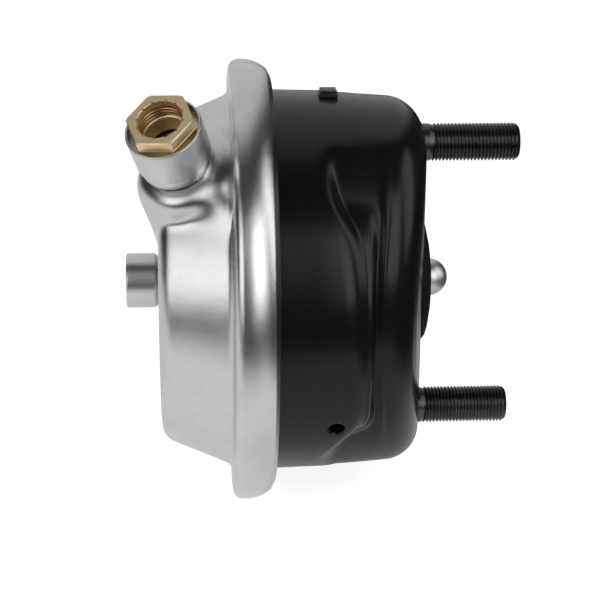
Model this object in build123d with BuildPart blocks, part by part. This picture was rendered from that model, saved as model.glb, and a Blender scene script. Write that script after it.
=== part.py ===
from build123d import *

import os
from math import asin, atan2, cos, degrees, radians, sin, tan

# Air brake chamber for a disc brake, about type 24. Millimetres.
# The X axis is the push rod's axis and points out of the mounting face. The two mounting
# studs stand on the Z axis. The origin is the centre of the mounting face.

# ---- driving dimensions -------------------------------------------------------------

# Mounting pads and studs
stud_spacing = 120.65  # 4.75 in, the standard spacing
stud_d = 16.0  # M16 x 1.5
stud_protrusion = 41.0
stud_tip_chamfer = 1.6
stud_head_d = 22.0
stud_head_height = 4.2
stud_shank_d = 17.0  # pressed into the housing, below the mounting face
stud_hole_gap = 0.15
pad_d = 28.0  # flat pad round each stud

# Housing, a deep-drawn steel pot
sheet = 3.0
housing_mouth_r = 81.6
drum_mid_x = -44.0
drum_mid_draft = 0.8  # how much narrower than the mouth
drum_end_x = -27.6  # the step where the wide drum ends
drum_end_draft = 2.0
drum_corner_r = 5.0
band_root_x = -50.0  # the band is the narrower end of the pot, with two flattened flanks
band_root_draft = 0.65
band_root_flat = 11.1  # how far the flanks lie inside the mouth's radius
band_end_draft = 4.0
band_end_flat = 14.1
band_flank_r = 98.5
band_flank_edge_r = 16.0
band_corner_r = 14.0
crown_r = 200.0  # the end is crowned across the stud line
crown_height = 0.5  # of the crown above the flats round the studs
boot_seat_d = 72.0  # flat sunk into the crown round the push rod
boot_seat_depth = 3.0

# The wide drum runs to its step only beside the flanks, as a panel with slanted ends
panel_root_x = -45.6
panel_slant_x = -30.0
panel_top_z = 54.0
panel_top_slant_z = 33.0
panel_bottom_z = -57.0
panel_bottom_slant_z = -40.0
panel_step_fall = 14.0  # how far the slant carries on before it meets the step

# Crimped joint
rim_back_x = -81.2
rim_crest_x = -71.8
rim_shoulder_x = -63.4
rim_shoulder_drop = 5.0  # from the crest
rim_lip_x = -61.4
rim_lip_gap = 0.7  # round the housing
rim_seat_lean = 29.0  # degrees, of the crimped seat
flange_width = 8.7
flange_edge_gap = 0.9
rim_back_corner_r = 7.0
rim_crest_corner_r = 8.0
rim_lip_corner_r = 4.5
rim_lip_edge_r = 0.4
rim_pocket_corner_r = 2.0
rim_bead_corner_r = 3.0
seat_gap = 0.3  # between curved neighbours
seat_clearance = 0.05  # in the crimp
weld_gap = 0.05
thread_gap = 0.05

# Pressure cover
cover_end_x = -110.9
cover_end_taper = 14.4  # how much narrower than the housing's mouth
cover_root_taper = 0.6
cover_corner_r = 3.5
cover_inner_corner_r = 0.5

# Port on the cover's shoulder
port_angle = 35.4  # from +Z towards -Y
port_tilt = 13.4  # towards the cover's end
port_mouth_x = -109.1
port_mouth_r = 106.2
nose_length = 44.0
nose_top_r = 19.4
nose_root_r = 20.0
nose_corner_r = 5.6
nose_blend_r = 4.5
boss_d = 30.4
boss_rim_depth = 5.1
boss_neck_height = 5.1
boss_neck_d = 25.6
boss_spigot_d = 21.0
boss_spigot_height = 3.5
boss_drill_d = 13.0
boss_floor = 5.3  # below the fitting's thread
boss_recess_d = 28.4
boss_seat_depth = 9.4
boss_rim_edge = 0.6
boss_recess_edge = 0.2
boss_base_edge = 0.4
boss_neck_blend = 0.8
boss_thread_runout = 0.5

# Push-in fitting in the port
fitting_hex = 24.0
fitting_thread_d = 22.0
fitting_length = 24.0
fitting_mouth_d = 18.0
fitting_bore_d = 17.0
fitting_bore_depth = 18.5
fitting_through_d = 11.0
coil_groove_d = 19.8
coil_groove_top = 2.6
coil_groove_bottom = 9.0
coil_wire_d = 1.3
coil_turns = 2.6
coil_gap = 0.05
groove_bevel = 0.6
hex_turn = -20.9  # degrees
fitting_edge = 0.6
face_seal_wire = 1.6
tube_seal_height = 1.8
tube_seal_width = 0.8
tube_seal_gap = 0.1

# Closed second port at the centre of the cover
bush_length = 14.7  # in front of the cover's end
bush_d = 23.4
bush_neck_d = 21.0
bush_neck_length = 1.2
bush_chamfer = 1.3
bush_thread_d = 16.0
bush_floor = 1.4
bush_drill_d = 8.0
bush_mouth_edge = 0.6
bush_edge = 0.8
plug_recess = 0.6
plug_hex = 8.0
plug_hex_depth = 5.5
plug_seal_height = 1.6

# Breather holes in the housing
vent_x = -40.0
vent_d = 6.5
vent_plug_width = 7.8
vent_plug_depth = 8.6
vent_head_height = 2.9
vent_top_tier = 1.2
vent_tier_step = 0.5
vent_angles = (0, 120, 240)  # from +Z towards -Y
drain_angle = 120  # the one left open
vent_gap = 0.1
vent_stem_length = 4.4
vent_barb = 0.6
vent_barb_taper = 25.0  # degrees

# Diaphragm
rubber = 3.4
bead_height = 6.6
bead_gap = 0.2
diaphragm_flat_gap = 5.7  # inside the cover's corner
bead_slack = 1.4
bead_lead = 1.0  # short slope where the cup's wall meets the bead
fold_height = 6.0  # of the cup's inner corner
fold_width = 3.0
cup_corner_r = 3.4
cup_bend_r = 2.0
bead_edge_r = 1.5

# Piston and push rod
plate_flat_gap = 7.5  # inside the diaphragm's flat
plate_sheet = 3.0
plate_rim = 5.0
plate_corner_r = 5.0
plate_edge_r = 1.0
hub_d = 34.0
hub_neck_d = 24.0
hub_length = 13.0
hub_edge_r = 1.0
hub_shoulder_r = 1.5
rod_d = 16.0
ball_r = 8.1
ball_centre_x = 4.8
rod_neck_d = 12.6
rod_neck_length = 5.0
rod_neck_bevel = 1.0

# Boot and its retainer
boot_hole_d = 56.0
boot_r = 27.6
boot_wall = 2.0
boot_apex_x = 4.4
boot_flange_d = 66.0
boot_flange_height = 2.4
boot_sleeve_length = 10.0
boot_crown_r = 17.0  # where the dome starts to flatten
boot_crown_drop = 2.6
boot_crown_dip = 0.4
boot_shoulder_r = 3.0
boot_crown_bend_r = 6.0
boot_edge_r = 0.6
boot_bend_r = 1.5
retainer_edge_r = 1.0
retainer_height = 2.6
retainer_collar = 4.0

# Plate behind the studs
backing_length = 142.0
backing_width = 100.0
backing_height = 5.4

# Return spring, conical so that its turns nest when the rod is out
spring_wire_d = 5.0
spring_turns = 5.0
spring_small_r = 31.5
spring_plate_gap = 1.5

# ---- values worked out from them ----------------------------------------------------

stud_hole_r = stud_shank_d / 2 + stud_hole_gap
stud_z = stud_spacing / 2
drum_mid_r = housing_mouth_r - drum_mid_draft
drum_end_r = housing_mouth_r - drum_end_draft
flange_r = housing_mouth_r + flange_width
rim_crest_r = flange_r + flange_edge_gap + sheet
rim_shoulder_r = rim_crest_r - rim_shoulder_drop
rim_lip_r = housing_mouth_r + rim_lip_gap
cover_end_r = housing_mouth_r - cover_end_taper
cover_root_r = housing_mouth_r - cover_root_taper
bush_end_x = cover_end_x - bush_length
bush_floor_x = cover_end_x - bush_floor
diaphragm_flat_r = cover_end_r - diaphragm_flat_gap
plate_d = 2 * (diaphragm_flat_r - plate_flat_gap)
spring_large_r = plate_d / 2 - plate_sheet - spring_wire_d / 2 - spring_plate_gap
boss_length = fitting_length + boss_thread_runout + boss_floor
nose_top_depth = boss_length - boss_spigot_height  # measured from the port's mouth
boss_base_depth = nose_top_depth - boss_neck_height
seal_groove_top = fitting_bore_depth - tube_seal_height
band_taper = (band_end_draft - band_root_draft) / (crown_height - band_root_x)
drum_taper = (drum_mid_r - drum_end_r) / (drum_end_x - drum_mid_x)
vent_lobe_r = housing_mouth_r - band_root_draft - band_taper * (vent_x - band_root_x)
vent_panel_r = drum_mid_r - drum_taper * (vent_x - drum_mid_x)
seal_groove_r = fitting_bore_d / 2 + tube_seal_gap + tube_seal_width
port_tilt_rad = radians(port_tilt)
port_angle_rad = radians(port_angle)
port_outward = Vector(0, -sin(port_angle_rad), cos(port_angle_rad))
port_axis = port_outward * cos(port_tilt_rad) - Vector(sin(port_tilt_rad), 0, 0)
port_mouth = port_outward * port_mouth_r + Vector(port_mouth_x, 0, 0)
port_plane = Plane(origin=port_mouth, x_dir=Vector(0, 1, 0).cross(port_axis), z_dir=port_axis)
boss_section = Plane(origin=port_mouth, x_dir=port_plane.x_dir, z_dir=-port_plane.y_dir)
boss_axis = Axis(port_mouth, port_axis)
cover_inner_x = cover_end_x + sheet
bead_back_x = rim_back_x + sheet
housing_mouth_x = bead_back_x + bead_height + 2 * bead_gap
boot_seat_inner_x = -boot_seat_depth - sheet
diaphragm_back_x = cover_inner_x + seat_gap
plate_back_x = diaphragm_back_x + rubber + seat_gap
plate_front_x = plate_back_x + plate_sheet
backing_hole_d = boot_seat_d + 2 * sheet + 2 * seat_gap
stud_seat_x = crown_height - sheet - backing_height - seat_clearance
seat_slope = tan(radians(rim_seat_lean))


def profile(points, corner_radii):
    """A closed face through (x, radius) points, each with its own corner radius."""
    with BuildLine(mode=Mode.PRIVATE) as outline:
        FilletPolyline(*points, radius=corner_radii, close=True)
    make_face(outline.edges())


def housing_drum(inset):
    """The wide part of the pot, as a filled solid."""
    end_x = drum_end_x - inset
    with BuildPart() as drum:
        with BuildSketch(Plane.XY):
            profile(
                [
                    (housing_mouth_x, 0),
                    (housing_mouth_x, housing_mouth_r - inset),
                    (drum_mid_x, drum_mid_r - inset),
                    (end_x, drum_end_r - inset),
                    (end_x, 0),
                ],
                [0, 0, 0, drum_corner_r, 0],
            )
        revolve(axis=Axis.X)
    return drum.part


def panel_limits(inset):
    """What the drum loses above and below its two side panels, as a solid across the pot."""
    with BuildPart() as limits:
        with BuildSketch(Plane.XZ):
            for top_z, slant_z, way in (
                (panel_top_z, panel_top_slant_z, 1),
                (panel_bottom_z, panel_bottom_slant_z, -1),
            ):
                step_z = slant_z - way * panel_step_fall
                Polygon(
                    (panel_root_x - inset, way * housing_mouth_r * 2),
                    (panel_root_x - inset, top_z - way * inset),
                    (panel_slant_x - inset, slant_z - way * inset),
                    (drum_end_x - inset, step_z - way * inset),
                    (drum_end_x + drum_corner_r, step_z - way * inset),
                    (drum_end_x + drum_corner_r, way * housing_mouth_r * 2),
                    align=None,
                )
        extrude(amount=housing_mouth_r * 2, both=True)
    return limits.part


def crown(inset):
    """A long cylinder along the stud line, whose near side is the crown of the pot's end."""
    with BuildPart() as cylinder:
        with BuildSketch(Plane.XY):
            with Locations(Location((crown_height - crown_r, 0, 0), (0, 0, 180))):
                Circle(crown_r - inset)
        extrude(amount=housing_mouth_r, both=True)
    return cylinder.part


def flanked_section(x, draft, flat, inset):
    """A circle with a shallow arc for each flank."""
    flank_y = band_flank_r - housing_mouth_r + flat
    with BuildSketch(Plane.YZ.offset(x)) as section:
        Circle(housing_mouth_r - draft - inset)
        with Locations((flank_y, 0)):
            Circle(band_flank_r - inset, mode=Mode.INTERSECT)
        with Locations((-flank_y, 0)):
            Circle(band_flank_r - inset, mode=Mode.INTERSECT)
        fillet(section.vertices(), band_flank_edge_r - inset)
    return section.sketch


def housing_band(inset):
    """The narrower end of the pot, flattened on two sides, with its crowned end."""
    root = flanked_section(band_root_x, band_root_draft, band_root_flat, inset)
    end = flanked_section(crown_height, band_end_draft, band_end_flat, inset)
    with BuildPart() as band:
        loft([root.faces()[0], end.faces()[0]], ruled=True)
        add(crown(inset), mode=Mode.INTERSECT)
        fillet(band.faces().sort_by(Axis.X)[-1].edges(), band_corner_r - inset)
        # Flat seat for the boot
        with BuildSketch(Plane.YZ.offset(-boot_seat_depth - inset)):
            Circle(boot_seat_d / 2 + inset)
        extrude(amount=2 * boot_seat_depth + inset, mode=Mode.SUBTRACT)
    return band.part


def around_axis(angle, x, radius):
    """A plane facing outwards, at an angle from +Z towards -Y."""
    outward = Vector(0, -sin(radians(angle)), cos(radians(angle)))
    return Plane(origin=outward * radius + Vector(x, 0, 0), x_dir=(1, 0, 0), z_dir=outward)


def housing_form(inset):
    """The whole pot as a filled solid, every wall moved inwards by inset."""
    with BuildPart() as form:
        add(housing_drum(inset))
        add(panel_limits(inset), mode=Mode.SUBTRACT)
        add(housing_band(inset))
    return form.part


def cover_form(inset, blend_r=0.0):
    """The cover's dish and nose as a filled solid, every wall moved inwards by inset."""
    with BuildPart() as form:
        with BuildSketch(Plane.XY):
            profile(
                [
                    (cover_end_x + inset, 0),
                    (cover_end_x + inset, cover_end_r - inset),
                    (bead_back_x, cover_root_r - inset),
                    (bead_back_x, 0),
                ],
                [0, max(cover_corner_r - inset, cover_inner_corner_r), 0, 0],
            )
        revolve(axis=Axis.X)
        with BuildSketch(boss_section):
            profile(
                [
                    (0, -nose_top_depth - inset),
                    (nose_top_r - inset, -nose_top_depth - inset),
                    (nose_root_r - inset, -nose_top_depth - nose_length),
                    (0, -nose_top_depth - nose_length),
                ],
                [0, nose_corner_r - inset, 0, 0],
            )
        revolve(axis=boss_axis)
        if blend_r:
            seam = [edge for edge in form.edges() if edge.geom_type not in (GeomType.CIRCLE, GeomType.LINE)]
            fillet(seam, blend_r)
        split(bisect_by=Plane.YZ.offset(bead_back_x), keep=Keep.BOTTOM)
    return form.part


def ring_round(axis, section, inner_r, outer_r, top, bottom):
    """A plain ring about an axis, its section given by radius and height."""
    with BuildPart() as ring:
        with BuildSketch(section):
            profile([(inner_r, top), (outer_r, top), (outer_r, bottom), (inner_r, bottom)], [0, 0, 0, 0])
        revolve(axis=axis)
    return ring.part


def save(piece, label):
    piece.part.label = label
    export_step(piece.part, "parts/" + label + ".step")
    print(label, len(piece.part.solids()), round(piece.part.volume))


os.makedirs("parts", exist_ok=True)

# ---- pressure cover: zinc plated dish, its rim crimped over the housing's flange ------

with BuildPart() as pressure_cover:
    add(cover_form(0, nose_blend_r))
    with BuildSketch(Plane.XY):
        profile(
            [
                (rim_back_x, cover_root_r - 2 * sheet),
                (rim_back_x, rim_crest_r),
                (rim_crest_x, rim_crest_r),
                (rim_shoulder_x, rim_shoulder_r),
                (rim_lip_x, rim_lip_r),
                (rim_lip_x - sheet, rim_lip_r),
                (rim_lip_x - sheet - seat_slope * (rim_crest_r - sheet - rim_lip_r), rim_crest_r - sheet),
                (bead_back_x, rim_crest_r - sheet),
                (bead_back_x, cover_root_r - 2 * sheet),
            ],
            [
                0,
                rim_back_corner_r,
                rim_crest_corner_r,
                rim_lip_corner_r,
                rim_lip_edge_r,
                0,
                rim_pocket_corner_r,
                rim_bead_corner_r,
                0,
            ],
        )
    revolve(axis=Axis.X)
    add(cover_form(sheet), mode=Mode.SUBTRACT)
    # Hole for the port boss through the nose, and for the bush through the dish
    with BuildSketch(port_plane.offset(-nose_top_depth + 1)):
        Circle(boss_spigot_d / 2 + weld_gap)
    extrude(amount=-3 * sheet, mode=Mode.SUBTRACT)
    with BuildSketch(Plane.YZ.offset(cover_end_x - 1)):
        Circle(bush_neck_d / 2 + weld_gap)
    extrude(amount=3 * sheet, mode=Mode.SUBTRACT)
save(pressure_cover, "pressure_cover")

# ---- housing: black deep-drawn pot with a flange --------------------------------------

flange_seat_x = rim_lip_x - sheet - seat_clearance
with BuildPart() as housing:
    add(housing_form(0))
    with BuildSketch(Plane.XY):
        profile(
            [
                (housing_mouth_x, 0),
                (housing_mouth_x, flange_r),
                (flange_seat_x - seat_slope * (flange_r - rim_lip_r), flange_r),
                (flange_seat_x + seat_slope * 2, rim_lip_r - 2),
                (flange_seat_x + seat_slope * 2, 0),
            ],
            [0, 0, 0, 0, 0],
        )
    revolve(axis=Axis.X)
    add(housing_form(sheet), mode=Mode.SUBTRACT)
    for angle in vent_angles:
        with BuildSketch(around_axis(angle, vent_x, drum_mid_r + sheet)):
            Circle(vent_d / 2)
        extrude(amount=-4 * sheet, mode=Mode.SUBTRACT)
    # Flats for the caliper round the studs, then the holes
    with BuildSketch(Plane.YZ):
        with Locations((0, stud_z), (0, -stud_z)):
            Circle(pad_d / 2)
    extrude(amount=crown_height, mode=Mode.SUBTRACT)
    with BuildSketch(Plane.YZ.offset(crown_height)):
        with Locations((0, stud_z), (0, -stud_z)):
            Circle(stud_hole_r)
        Circle(boot_hole_d / 2)
    extrude(amount=2 * boot_seat_inner_x, mode=Mode.SUBTRACT)
save(housing, "housing")

# ---- mounting studs, their heads behind the backing plate ------------------------------

with BuildPart() as mounting_studs:
    with BuildSketch(Plane.YZ.offset(stud_seat_x)):
        with Locations((0, stud_z), (0, -stud_z)):
            Circle(stud_head_d / 2)
    extrude(amount=-stud_head_height)
    with BuildSketch(Plane.YZ.offset(stud_seat_x)):
        with Locations((0, stud_z), (0, -stud_z)):
            Circle(stud_shank_d / 2)
    extrude(amount=-stud_seat_x)
    with BuildSketch(Plane.YZ):
        with Locations((0, stud_z), (0, -stud_z)):
            Circle(stud_d / 2)
    extrude(amount=stud_protrusion)
    chamfer(mounting_studs.faces().group_by(Axis.X)[-1].edges(), stud_tip_chamfer)
save(mounting_studs, "mounting_studs")

# ---- backing plate, pressed to the shape of the housing's end --------------------------

with BuildPart() as backing_plate:
    add(housing_band(sheet + seat_clearance))
    with BuildSketch(Plane.YZ.offset(crown_height)):
        SlotOverall(backing_length, backing_width, rotation=90)
        Circle(backing_hole_d / 2, mode=Mode.SUBTRACT)
        with Locations((0, stud_z), (0, -stud_z)):
            Circle(stud_hole_r, mode=Mode.SUBTRACT)
    extrude(amount=band_root_x, mode=Mode.INTERSECT)
    add(crown(sheet + backing_height), mode=Mode.SUBTRACT)
    with BuildSketch(Plane.YZ.offset(stud_seat_x)):
        with Locations((0, stud_z), (0, -stud_z)):
            Circle(stud_head_d / 2 + seat_gap)
    extrude(amount=band_root_x, mode=Mode.SUBTRACT)
save(backing_plate, "backing_plate")

# ---- port boss: turned collar welded on the nose --------------------------------------

with BuildPart() as port_boss:
    with BuildSketch(boss_section):
        profile(
            [
                (boss_drill_d / 2, -boss_length),
                (boss_drill_d / 2, -fitting_length - boss_thread_runout),
                (fitting_thread_d / 2, -fitting_length - boss_thread_runout),
                (fitting_thread_d / 2, -boss_seat_depth),
                (boss_recess_d / 2, -boss_seat_depth),
                (boss_recess_d / 2, -boss_rim_depth),
                (boss_d / 2, -boss_rim_depth),
                (boss_d / 2, -boss_base_depth),
                (boss_neck_d / 2, -boss_base_depth),
                (boss_neck_d / 2, -nose_top_depth),
                (boss_spigot_d / 2, -nose_top_depth),
                (boss_spigot_d / 2, -boss_length),
            ],
            [0, 0, 0, 0, 0, boss_recess_edge, boss_rim_edge, boss_base_edge, boss_neck_blend, 0, 0, 0],
        )
    revolve(axis=boss_axis)
save(port_boss, "port_boss")

# ---- push-in fitting: brass hexagon, thread and socket --------------------------------

with BuildPart() as port_fitting:
    with BuildSketch(port_plane.offset(-boss_seat_depth)):
        RegularPolygon(fitting_hex / 2, 6, major_radius=False, rotation=hex_turn)
    extrude(amount=boss_seat_depth)
    chamfer(port_fitting.faces().sort_by(boss_axis)[-1].edges(), fitting_edge)
    with BuildSketch(port_plane.offset(-boss_seat_depth)):
        Circle(fitting_thread_d / 2 - thread_gap)
    extrude(amount=boss_seat_depth - fitting_length)
    with BuildSketch(boss_section):
        profile(
            [
                (0, 1),
                (fitting_mouth_d / 2, 1),
                (fitting_mouth_d / 2, -coil_groove_top),
                (coil_groove_d / 2, -coil_groove_top - groove_bevel),
                (coil_groove_d / 2, -coil_groove_bottom + groove_bevel),
                (fitting_bore_d / 2, -coil_groove_bottom),
                (fitting_bore_d / 2, -seal_groove_top),
                (seal_groove_r, -seal_groove_top),
                (seal_groove_r, -fitting_bore_depth),
                (fitting_through_d / 2, -fitting_bore_depth),
                (fitting_through_d / 2, -fitting_length - 1),
                (0, -fitting_length - 1),
            ],
            [0] * 12,
        )
    revolve(axis=boss_axis, mode=Mode.SUBTRACT)
    # Groove under the hexagon for the face seal
    with BuildSketch(boss_section):
        with Locations((fitting_thread_d / 2 - thread_gap, -boss_seat_depth - face_seal_wire / 2)):
            Rectangle(face_seal_wire, face_seal_wire)
    revolve(axis=boss_axis, mode=Mode.SUBTRACT)
save(port_fitting, "port_fitting")

with BuildPart() as fitting_face_seal:
    add(
        ring_round(
            boss_axis,
            boss_section,
            fitting_thread_d / 2 - thread_gap - face_seal_wire / 2,
            fitting_thread_d / 2 - thread_gap,
            -boss_seat_depth,
            -boss_seat_depth - face_seal_wire,
        )
    )
save(fitting_face_seal, "fitting_face_seal")

with BuildPart() as fitting_tube_seal:
    add(
        ring_round(
            boss_axis,
            boss_section,
            fitting_bore_d / 2 + tube_seal_gap,
            seal_groove_r,
            -seal_groove_top,
            -fitting_bore_depth,
        )
    )
save(fitting_tube_seal, "fitting_tube_seal")

# Retaining coil in the socket's groove
coil_height = coil_groove_bottom - coil_groove_top - 2 * groove_bevel - coil_wire_d
coil_r = coil_groove_d / 2 - coil_wire_d / 2 - coil_gap
coil_base = port_plane.offset(-coil_groove_bottom + groove_bevel + coil_wire_d / 2)
with BuildPart() as fitting_coil:
    with BuildLine() as coil_path:
        Helix(
            coil_height / coil_turns,
            coil_height,
            coil_r,
            center=coil_base.origin,
            direction=coil_base.z_dir,
        )
    with BuildSketch(Plane(coil_path.line @ 0, z_dir=coil_path.line % 0)):
        Circle(coil_wire_d / 2)
    sweep(path=coil_path.line, is_frenet=True)
save(fitting_coil, "fitting_coil")

# ---- closed second port: welded bush with a flush plug --------------------------------

with BuildPart() as centre_bush:
    with BuildSketch(Plane.XY):
        profile(
            [
                (bush_end_x, bush_thread_d / 2),
                (bush_end_x, bush_d / 2),
                (cover_end_x - bush_neck_length - bush_chamfer, bush_d / 2),
                (cover_end_x - bush_neck_length, bush_neck_d / 2),
                (cover_inner_x, bush_neck_d / 2),
                (cover_inner_x, bush_drill_d / 2),
                (bush_floor_x, bush_drill_d / 2),
                (bush_floor_x, bush_thread_d / 2),
            ],
            [bush_mouth_edge, bush_edge, 0, 0, 0, 0, 0, 0],
        )
    revolve(axis=Axis.X)
save(centre_bush, "centre_bush")

with BuildPart() as blanking_plug:
    with BuildSketch(Plane.YZ.offset(bush_end_x + plug_recess)):
        Circle(bush_thread_d / 2 - thread_gap)
    extrude(amount=bush_floor_x - plug_seal_height - bush_end_x - plug_recess)
    with BuildSketch(Plane.YZ.offset(bush_end_x + plug_recess)):
        RegularPolygon(plug_hex / 2, 6, major_radius=False)
    extrude(amount=plug_hex_depth, mode=Mode.SUBTRACT)
save(blanking_plug, "blanking_plug")

with BuildPart() as blanking_plug_seal:
    with BuildSketch(Plane.YZ.offset(bush_floor_x)):
        Circle(bush_thread_d / 2 - thread_gap)
        Circle(bush_drill_d / 2, mode=Mode.SUBTRACT)
    extrude(amount=-plug_seal_height)
save(blanking_plug_seal, "blanking_plug_seal")

# ---- breather plugs in two of the three holes -----------------------------------------

with BuildPart() as vent_plugs:
    for angle in vent_angles:
        if angle != drain_angle:
            surface_r = vent_lobe_r if angle == 0 else vent_panel_r
            outer = around_axis(angle, vent_x, surface_r + seat_gap)
            with BuildSketch(outer):
                Rectangle(vent_plug_width, vent_plug_depth)
            extrude(amount=vent_head_height - vent_top_tier)
            with BuildSketch(outer.offset(vent_head_height - vent_top_tier)):
                Rectangle(vent_plug_width - 2 * vent_tier_step, vent_plug_depth - 2 * vent_tier_step)
            extrude(amount=vent_top_tier)
            with BuildSketch(outer):
                Circle(vent_d / 2 - vent_gap)
            extrude(amount=-vent_stem_length)
            with BuildSketch(outer.offset(-vent_stem_length)):
                Circle(vent_d / 2 + vent_barb)
            extrude(amount=-2 * vent_barb, taper=vent_barb_taper)
save(vent_plugs, "vent_plugs")

# ---- diaphragm: rubber cup clamped by its bead, folded back against the cover -----------

cone_in = cover_root_r - sheet - seat_gap
with BuildPart() as diaphragm:
    with BuildSketch(Plane.XY):
        profile(
            [
                (diaphragm_back_x, 0),
                (diaphragm_back_x, diaphragm_flat_r),
                (bead_back_x + bead_gap - rubber, cone_in - bead_slack),
                (bead_back_x + bead_gap, cone_in - bead_slack + bead_lead),
                (bead_back_x + bead_gap, flange_r),
                (housing_mouth_x - bead_gap, flange_r),
                (housing_mouth_x - bead_gap, cone_in - rubber - bead_slack),
                (diaphragm_back_x + rubber + fold_height, diaphragm_flat_r - rubber + fold_width / 5),
                (diaphragm_back_x + rubber, diaphragm_flat_r - rubber - fold_width),
                (diaphragm_back_x + rubber, 0),
            ],
            [0, cup_corner_r, 0, 0, bead_edge_r, bead_edge_r, 0, cup_bend_r, cup_bend_r, 0],
        )
    revolve(axis=Axis.X)
save(diaphragm, "diaphragm")

# ---- piston plate, hub and push rod ----------------------------------------------------

with BuildPart() as piston_plate:
    with BuildSketch(Plane.XY):
        profile(
            [
                (plate_back_x, rod_d / 2),
                (plate_back_x, plate_d / 2),
                (plate_back_x + plate_sheet + plate_rim, plate_d / 2),
                (plate_back_x + plate_sheet + plate_rim, plate_d / 2 - plate_sheet),
                (plate_front_x, plate_d / 2 - plate_sheet),
                (plate_front_x, rod_d / 2),
            ],
            [0, plate_corner_r, plate_edge_r, plate_edge_r, plate_corner_r - plate_sheet, 0],
        )
    revolve(axis=Axis.X)
save(piston_plate, "piston_plate")

with BuildPart() as rod_hub:
    with BuildSketch(Plane.XY):
        profile(
            [
                (plate_front_x, rod_d / 2),
                (plate_front_x, hub_d / 2),
                (plate_front_x + hub_length / 3, hub_d / 2),
                (plate_front_x + hub_length, hub_neck_d / 2),
                (plate_front_x + hub_length, rod_d / 2),
            ],
            [0, 0, hub_shoulder_r, hub_edge_r, 0],
        )
    revolve(axis=Axis.X)
save(rod_hub, "rod_hub")

neck_end_x = ball_centre_x - cos(asin(rod_neck_d / 2 / ball_r)) * ball_r
with BuildPart() as push_rod:
    with BuildSketch(Plane.XY):
        profile(
            [
                (plate_back_x, 0),
                (plate_back_x, rod_d / 2),
                (neck_end_x - rod_neck_length, rod_d / 2),
                (neck_end_x - rod_neck_length + rod_neck_bevel, rod_neck_d / 2),
                (ball_centre_x, rod_neck_d / 2),
                (ball_centre_x, 0),
            ],
            [0, 0, 0, 0, 0, 0],
        )
    revolve(axis=Axis.X)
    with Locations((ball_centre_x, 0, 0)):
        Sphere(ball_r)
save(push_rod, "push_rod")

# ---- boot: rubber dome and sleeve between the housing and the push rod ------------------

boot_inner_r = rod_d / 2 + seat_gap
boot_back_x = boot_seat_inner_x - boot_flange_height
boot_top_x = boot_apex_x - boot_crown_dip
with BuildPart() as rod_boot:
    with BuildSketch(Plane.XY):
        profile(
            [
                (boot_back_x, boot_flange_d / 2),
                (boot_seat_inner_x, boot_flange_d / 2),
                (boot_seat_inner_x, boot_r),
                (boot_apex_x - boot_crown_drop, boot_r),
                (boot_top_x, boot_crown_r),
                (boot_top_x, boot_inner_r),
                (boot_top_x - boot_sleeve_length, boot_inner_r),
                (boot_top_x - boot_sleeve_length, boot_inner_r + boot_wall),
                (boot_top_x - boot_wall, boot_inner_r + boot_wall),
                (boot_top_x - boot_wall, boot_crown_r - boot_edge_r),
                (boot_apex_x - boot_crown_drop - boot_wall, boot_r - boot_wall),
                (boot_back_x, boot_r - boot_wall),
            ],
            [
                0,
                0,
                0,
                boot_shoulder_r,
                boot_crown_bend_r,
                boot_edge_r,
                boot_edge_r,
                boot_edge_r,
                boot_bend_r,
                boot_crown_bend_r - boot_wall,
                boot_bend_r,
                0,
            ],
        )
    revolve(axis=Axis.X)
save(rod_boot, "rod_boot")

with BuildPart() as boot_retainer:
    with BuildSketch(Plane.XY):
        profile(
            [
                (boot_back_x, boot_r - boot_wall),
                (boot_back_x, backing_hole_d / 2 - seat_gap),
                (boot_back_x - retainer_height, backing_hole_d / 2 - seat_gap),
                (boot_back_x - retainer_height, boot_r - boot_wall + retainer_height),
                (boot_back_x - retainer_height - retainer_collar, boot_r - boot_wall + retainer_height),
                (boot_back_x - retainer_height - retainer_collar, boot_r - boot_wall),
            ],
            [0, boot_edge_r, boot_edge_r, boot_edge_r, retainer_edge_r, retainer_edge_r],
        )
    revolve(axis=Axis.X)
save(boot_retainer, "boot_retainer")

# ---- return spring: conical coil from the piston plate to the boot's retainer -----------

spring_back_x = plate_front_x + spring_wire_d / 2
spring_front_x = boot_back_x - retainer_height - spring_wire_d / 2
spring_height = spring_front_x - spring_back_x
with BuildPart() as return_spring:
    with BuildLine() as spring_path:
        Helix(
            spring_height / spring_turns,
            spring_height,
            spring_small_r,
            center=(spring_front_x, 0, 0),
            direction=(-1, 0, 0),
            cone_angle=degrees(atan2(spring_large_r - spring_small_r, spring_height)),
        )
    with BuildSketch(Plane(spring_path.line @ 0, z_dir=spring_path.line % 0)):
        Circle(spring_wire_d / 2)
    sweep(path=spring_path.line, is_frenet=True)
save(return_spring, "return_spring")
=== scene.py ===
# %% [markdown]
# Air brake chamber, dressed over its CAD frame.
# The CAD gives every solid its size and its place. This file gives them their finish, and makes
# the forms that CAD leaves plain: threads, pressed steel that flows from one shape to the next,
# rubber that moves with the rod. Everything is in metres, in the frame that the CAD uses.
# X runs along the push rod and out of the mounting face, Z along the line of the two studs.

import math
import bpy
from mathutils import Matrix, Vector


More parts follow.
